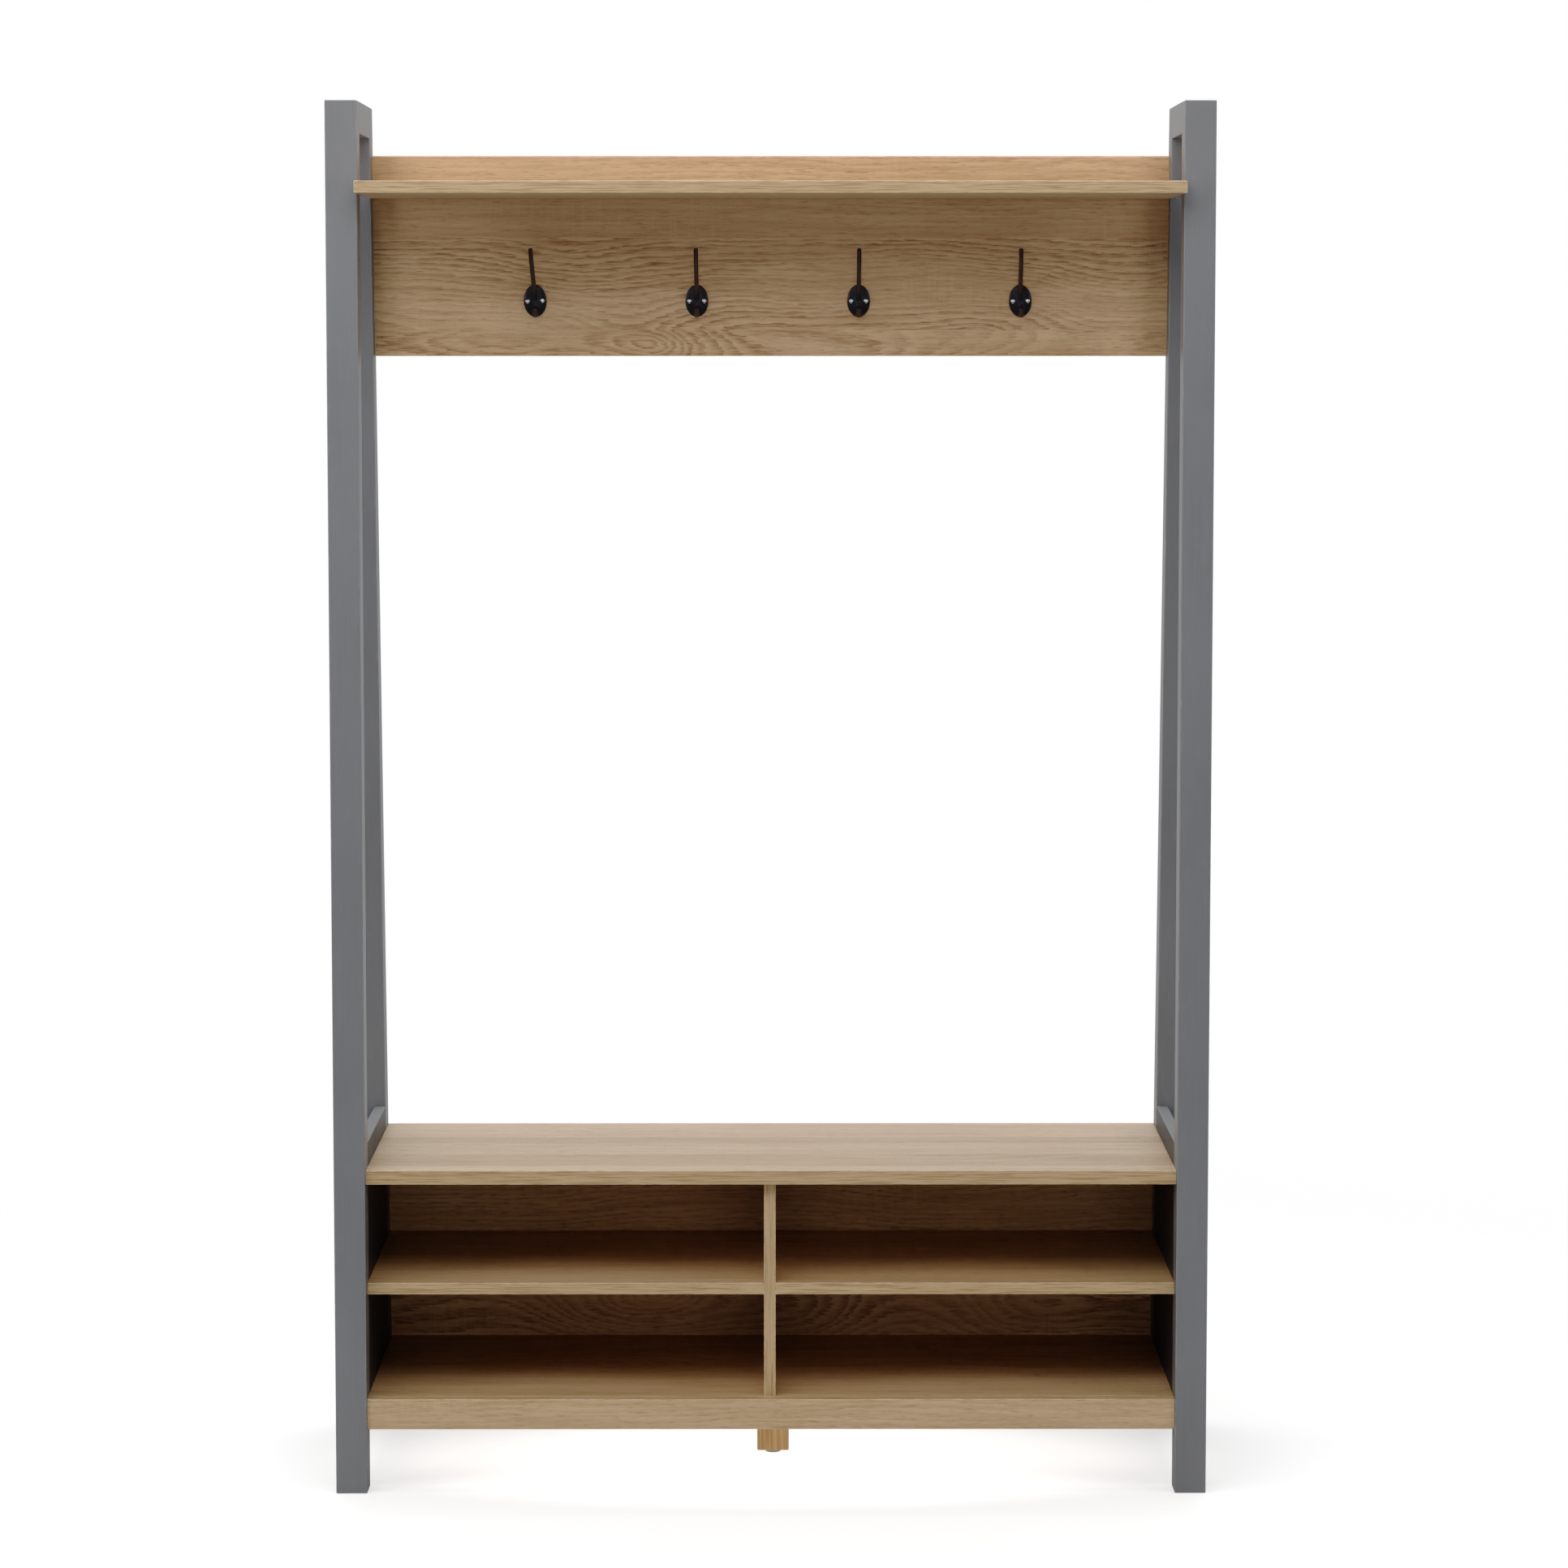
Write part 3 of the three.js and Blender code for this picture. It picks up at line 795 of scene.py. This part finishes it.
def add_insert(zinc):
    """The barbed sleeve in the leg that the stud turns in."""
    low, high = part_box("leveller_insert")
    bore = 4.2 * MM
    barbs = 5
    step = (high.z - low.z) / barbs
    rings = [
        circle(radius * MM, radius * MM, 36, low.z + step * (i + share))
        for i in range(barbs)
        for radius, share in ((4.8, 0.02), (5.2, 0.7), (5.2, 0.9))
    ]
    rings.append(circle(4.9 * MM, 4.9 * MM, 36, high.z))
    sleeve = smooth_mesh(lofted(rings), "leveller_insert")
    drill = turned([(bore, low.z - 5 * MM), (bore, high.z + 5 * MM)], 36)
    hollow = recreased(carved(sleeve, [drill], "leveller_insert"))
    new_piece("leveller_insert", moved(hollow, under_leg(), "leveller_insert"), [zinc])


def under_leg():
    """The move from the origin to the floor under the glide."""
    centre = middle("leg_leveller")
    return Matrix.Translation((centre.x, centre.y, 0))


# ---- Coat hooks ----
# A hook's own axes: +X is to the right, +Y out from the panel and +Z up, with the plate's middle at 0.

PLATE_HALF_WIDTH, PLATE_HALF_HEIGHT, PLATE_RISE = 15 * MM, 21 * MM, 4.5 * MM
SCREW_HALF_APART = 9.65 * MM


def smooth_path(points, per_span=6):
    """Points along a Catmull-Rom curve through (out, up, half width, half thickness) points."""
    before_first = [2 * a - b for a, b in zip(points[0], points[1])]
    after_last = [2 * a - b for a, b in zip(points[-1], points[-2])]
    whole = [before_first, *points, after_last]
    path = []
    for i in range(1, len(whole) - 2):
        for step in range(per_span):
            t = step / per_span
            path.append([
                0.5 * (2 * b + (c - a) * t + (2 * a - 5 * b + 4 * c - d) * t * t
                       + (3 * b - a - 3 * c + d) * t ** 3)
                for a, b, c, d in zip(*whole[i - 1:i + 3])
            ])
    path.append(list(points[-1]))
    return path


def bar(points, tip):
    """A bar bent in the hook's middle plane, with an oval section and a rounded tip that is tip long."""
    path = smooth_path([[value * MM for value in point] for point in points])
    rings = []
    for i, (out, up, width, thickness) in enumerate(path):
        before, after = path[max(i - 1, 0)], path[min(i + 1, len(path) - 1)]
        along = Vector((0, after[0] - before[0], after[1] - before[1])).normalized()
        normal = Vector((0, -along.z, along.y))
        centre = Vector((0, out, up))
        rings.append([centre + RIGHT * c * width + normal * s * thickness for c, s in oval(20)])
    for angle in (20, 40, 58, 74):
        shrink = math.cos(math.radians(angle))
        push = along * tip * MM * math.sin(math.radians(angle))
        rings.append([centre + push + (point - centre) * shrink for point in rings[len(path) - 1]])
    return lofted(rings)


def oval(sides, squareness=2.5):
    """A rounded section, a little squarer than an ellipse."""
    for i in range(sides):
        angle = 2 * math.pi * i / sides
        c, s = math.cos(angle), math.sin(angle)
        power = 2 / squareness
        yield math.copysign(abs(c) ** power, c), math.copysign(abs(s) ** power, s)


def plate():
    """The oval back plate: a flat rim, then a dome."""
    profile = [(0.985, 0.3), (1.0, 0.6), (1.0, 1.4), (0.985, 1.75), (0.95, 2.05), (0.85, 2.75), (0.7, 3.5),
               (0.5, 4.1), (0.3, 4.4), (0.12, 4.5)]
    rings = []
    for share, out in profile:
        ring = circle(share * PLATE_HALF_WIDTH, share * PLATE_HALF_HEIGHT, 72)
        rings.append([Vector((p.x, out * MM, p.y)) for p in ring])
    return lofted(rings)


def boss(x):
    """The flat seat under a screw's head."""
    solid = turned([(3.6 * MM, 1 * MM), (3.5 * MM, 4.2 * MM), (3.3 * MM, PLATE_RISE)], 32)
    solid.transform(Matrix.Translation((x, 0, 0)) @ Matrix.Rotation(-math.pi / 2, 4, "X"))
    return solid


# Points along the hook's two bars: (out, up, half width, half thickness), in millimetres.
ARM = [(1.5, -1, 2.4, 2.0), (4.6, 6, 2.9, 2.6), (9, 13, 2.9, 2.5), (19, 28, 2.9, 2.3), (32, 43, 2.9, 2.2),
       (42, 56, 2.9, 2.2), (46.7, 70.6, 2.9, 2.3)]
PRONG = [(1.5, -3, 3.2, 2.2), (4.5, -9, 3.5, 2.2), (8.5, -14, 3.6, 2.0), (15, -18.4, 3.6, 1.9),
         (21.5, -16.5, 3.6, 1.9), (25.4, -9, 3.5, 1.8)]


def fused(parts, name):
    """Solids cast as one, with soft fillets where they meet."""
    whole = bmesh.new()
    for part in parts:
        mesh = bpy.data.meshes.new("part")
        part.to_mesh(mesh)
        part.free()
        whole.from_mesh(mesh)
    holder = as_object(whole, name)
    remesh = holder.modifiers.new("fuse", "REMESH")
    remesh.mode = "VOXEL"
    remesh.voxel_size = 0.42 * MM
    fillet = holder.modifiers.new("fillet", "SMOOTH")
    fillet.factor = 0.5
    fillet.iterations = 6
    thin = holder.modifiers.new("thin", "DECIMATE")
    thin.ratio = 0.45
    return settled(holder)


def screw_hole(x):
    """The cutter for the hole that a screw goes through."""
    hole = turned([(2.05 * MM, -2 * MM), (2.05 * MM, 8 * MM)], 24)
    hole.transform(Matrix.Translation((x, 0, 0)) @ Matrix.Rotation(-math.pi / 2, 4, "X"))
    return hole


def hook_mesh():
    """A whole hook. Its reach attribute is how far each point stands out from the plate."""
    screws = (-SCREW_HALF_APART, SCREW_HALF_APART)
    cast = fused([plate(), bar(ARM, 1.6), bar(PRONG, 1.7), *(boss(x) for x in screws)], "hook_form")
    drilled = recreased(carved(cast, [screw_hole(x) for x in screws], "hook_form"), 50)
    reach = drilled.attributes.new("reach", "FLOAT", "POINT")
    reach.data.foreach_set("value", [vertex.co.y - 0.6 * PLATE_RISE for vertex in drilled.vertices])
    return drilled


def add_hooks(metal, steel):
    """Each hook is set square to the line between its two screws, as it was screwed on."""
    form, screw = hook_mesh(), hook_screw_mesh()
    for number in range(1, 5):
        left, right = (middle(f"hook_screw_{number}_{side}") for side in SIDES)
        across = (right - left).normalized()
        out = -BACK
        up = across.cross(BACK)
        seat_from_middle = (SCREW_SHANK - SCREW_HEAD) / 2  # from a screw's middle out to where its head seats
        plate_back = (left + right) / 2 + out * (seat_from_middle - PLATE_RISE)
        place = axes_at(across, out, up, plate_back)
        name = f"coat_hook_{number}"
        new_piece(name, moved(form, place, name), [metal])
        for side, centre in zip(SIDES, (left, right)):
            node = f"hook_screw_{number}_{side}"
            spun = Matrix.Rotation(math.radians(37 * number + (20 if side == "left" else 0)), 4, "Z")
            seat = axes_at(across, -up, out, centre + out * seat_from_middle) @ spun
            new_piece(node, moved(screw, seat, node), [steel])


# ---- Boards, frames and leg ----

THICKNESS = {X: RIGHT, Y: BACK, Z: UP}

# Each board: its grain's axis, the axis across the grain, its thickness axis, and its planks.
# A plank is (the share of the board where it ends, its heart beyond its own middle, that heart's depth,
# the depth's drift, how bold its figure is, how dark it is). The darkness is print, except on the hook
# panel's plank under the upper shelf, where it is painted shade.
BOARDS = {
    "hook_panel": (X, Z, Y, [
        (0.13, 0.0, 0.03, 0.16, 1.0, 0.05),
        (0.59, -0.075, 0.0, 0.05, 1.0, 0.0),
        # Painted shade: this plank lies just under the upper shelf and is darkened for the shadow that the
        # shelf casts.
        (0.81, 0.185, 0.12, 0.02, 0.15, 0.38),
        (1.0, 0.14, 0.1, 0.03, 0.3, 0.05)]),
    "upper_shelf": (X, Y, Z, [
        (0.45, 0.09, 0.09, 0.02, 0.4, 0.05),
        (1.0, -0.12, 0.06, -0.03, 0.3, 0.0)]),
    "bench_top": (X, Y, Z, [
        (0.1, 0.13, 0.1, 0.03, 0.2, -0.15),
        (0.34, 0.05, 0.05, 0.045, 0.5, 0.5),
        (0.57, 0.16, 0.1, -0.02, 0.3, -0.15),
        (0.69, 0.07, 0.06, 0.03, 0.5, 0.5),
        (1.0, 0.12, 0.08, 0.02, 0.3, -0.15)]),
    "middle_shelf_left": (X, Y, Z, [
        (0.5, 0.1, 0.06, 0.04, 0.3, 0.0),
        (1.0, -0.13, 0.09, 0.02, 0.2, 0.3)]),
    "middle_shelf_right": (X, Y, Z, [
        (0.42, -0.1, 0.07, -0.04, 0.2, 0.25),
        (1.0, 0.12, 0.06, 0.03, 0.4, 0.0)]),
    "bottom_shelf": (X, Y, Z, [
        (0.3, 0.12, 0.08, 0.03, 0.3, 0.1),
        (1.0, -0.05, 0.05, 0.04, 0.4, 0.25)]),
    "front_apron": (X, Z, Y, [
        (1.0, 0.08, 0.05, 0.05, 0.35, 0.05)]),
    "lower_back_panel": (X, Z, Y, [
        (0.5, 0.0, 0.03, 0.15, 1.0, 0.05),
        (1.0, 0.11, 0.08, 0.02, 0.5, 0.0)]),
    "centre_divider": (Z, Y, X, [
        (1.0, 0.1, 0.06, 0.04, 0.3, 0.05)]),
}

# The boards whose oak isn't the common one: the bench top's paler oak is painted light and sheen from above,
# and the hook panel's and lower back panel's redder oak is painted shade.
SHADES = {"bench_top": SHEEN_PALE_OAK, "hook_panel": SHADE_RED_OAK, "lower_back_panel": SHADE_RED_OAK}


def add_boards():
    """Every oak board, with its own planks laid over its CAD box."""
    arris = oak_arris_highlight("oak_arris_highlight")
    core = particleboard()
    bands = {axis: oak_band(f"oak_band_{'xyz'[axis]}", axis, (axis + 1) % 3) for axis in (X, Z)}
    for node, (along, across, thin, planks) in BOARDS.items():
        placed = []
        begin = 0.0
        for end, beyond, *others in planks:
            heart = share_of(node, across, (begin + end) / 2) + beyond
            placed.append((share_of(node, across, end), heart, *others))
            begin = end
        face = oak_laminate(f"oak_{node}", along, across, placed, SHADES.get(node, OAK))
        add_board(node, THICKNESS[thin], face, bands[along], arris, core)


GREY = srgb(114, 115, 118)


def add_side_frames():
    """The posts and top rails in grey paint, and the side panels: their faces painted dark as the shade
    inside the cubbies, their edges in about the frames' grey and their tops lighter as painted light.
    """
    upright = satin_paint("grey_paint", GREY, 0.06)
    rail = satin_paint("grey_paint_rail", GREY, 0.06, grain_axis=Y)
    # Painted highlight: the posts' and rails' rounded corners are lighter than their faces, with more
    # rubbed-thin spots.
    edge = satin_paint("grey_paint_edge_highlight", tuple(c * 1.15 for c in GREY), 0.35, roughness=0.36)
    # Painted shade: the side panels' faces are far darker than the frames' grey, for the shade that falls on
    # them in the cubbies.
    board = satin_paint("dark_grey_board", srgb(50, 51, 54), 0.05, grain_axis=Y, roughness=0.5)
    board_edge = satin_paint("dark_grey_edge", srgb(118, 119, 122), 0.3, grain_axis=Y, roughness=0.4)
    # Painted light: the side panels' upward faces are lighter than the frames' grey, for the light from above
    # and its sheen.
    board_top_light = satin_paint(
        "grey_board_top_painted_light", srgb(132, 133, 135), 0.1, grain_axis=Y, roughness=0.65, specular=0.3)
    for side in SIDES:
        add_painted(f"front_post_{side}", upright, edge, 1.3 * MM)
        add_painted(f"rear_post_{side}", upright, edge, 1.3 * MM)
        add_painted(f"top_rail_{side}", rail, edge, 0.9 * MM)
        add_painted(f"side_panel_{side}", board, board_edge, 0.8 * MM, board_top_light)


def add_leg():
    solid = cad_solid("centre_leg")
    eased(solid, 1.8 * MM, segments=4)
    weigh_normals(new_piece("centre_leg", smooth_mesh(solid, "centre_leg"), [leg_wood()]))


# ---- Floor ----

FLOOR_REACH = 7.0
FLOOR_FADE = (0.8, 2.6)  # how far out the floor begins to fade and is gone
GLOW_HALF_WIDTH, GLOW_HALF_DEPTH, GLOW = 0.52, 0.22, 0.38
SEEN_WHITER = 0.55


def pale_floor():
    """A pale studio floor, lit from below under the object, that fades out to the surround far from it.
    The camera sees it whiter than it lights the object."""
    graph = Graph("pale_floor")
    x, y, z = graph.place()
    cloud = graph.noise(x * 1.5, y * 1.5, z, detail=3.0)
    pale = graph.blend(cloud, (0.58, 0.58, 0.58), (0.61, 0.61, 0.61))
    graph.finish(pale, 0.7, cloud, 0.1 * MM, specular=0.1)
    seen = Value(graph, graph.add("ShaderNodeLightPath").outputs["Is Camera Ray"])
    under = ((x / GLOW_HALF_WIDTH) ** 2 + (y / GLOW_HALF_DEPTH) ** 2).between(0.2, 1.5, GLOW, 0.0)
    graph.shader.inputs["Emission Color"].default_value = (1, 1, 1, 1)
    graph.feed(graph.shader.inputs["Emission Strength"], seen * SEEN_WHITER + under)
    clear = graph.add("ShaderNodeBsdfTransparent")
    mix = graph.add("ShaderNodeMixShader")
    graph.feed(mix.inputs[0], ((x * x + y * y) ** 0.5).between(*FLOOR_FADE))
    graph.tree.links.new(graph.shader.outputs[0], mix.inputs[1])
    graph.tree.links.new(clear.outputs[0], mix.inputs[2])
    graph.tree.links.new(mix.outputs[0], graph.tree.nodes["Material Output"].inputs["Surface"])
    return graph.material


def add_floor():
    solid = bmesh.new()
    solid.faces.new(ring_of(solid, circle(FLOOR_REACH, FLOOR_REACH, 96)))
    floor = as_object(solid, "floor")
    floor.data.materials.append(pale_floor())


# ---- The scene ----

set_view()
add_camera()
add_world()
for softbox in SOFTBOXES:
    add_softbox(*softbox)
add_floor()
add_side_frames()
add_boards()
add_leg()
hook_metal = cast_metal()
screw_steel = bare_metal("screw_steel", srgb(222, 222, 224), srgb(190, 190, 194), 0.27, 0.9 * MM, 0.02 * MM)
add_hooks(hook_metal, screw_steel)
zinc = bare_metal("zinc", srgb(176, 177, 180), srgb(136, 137, 142), 0.42, 0.7 * MM, 0.05 * MM)
bolt_steel = bare_metal("bolt_steel", srgb(205, 203, 198), srgb(170, 168, 164), 0.32, 0.8 * MM, 0.02 * MM)
add_cam_fittings(bolt_steel, zinc)
add_glide(moulded_plastic())
add_insert(zinc)
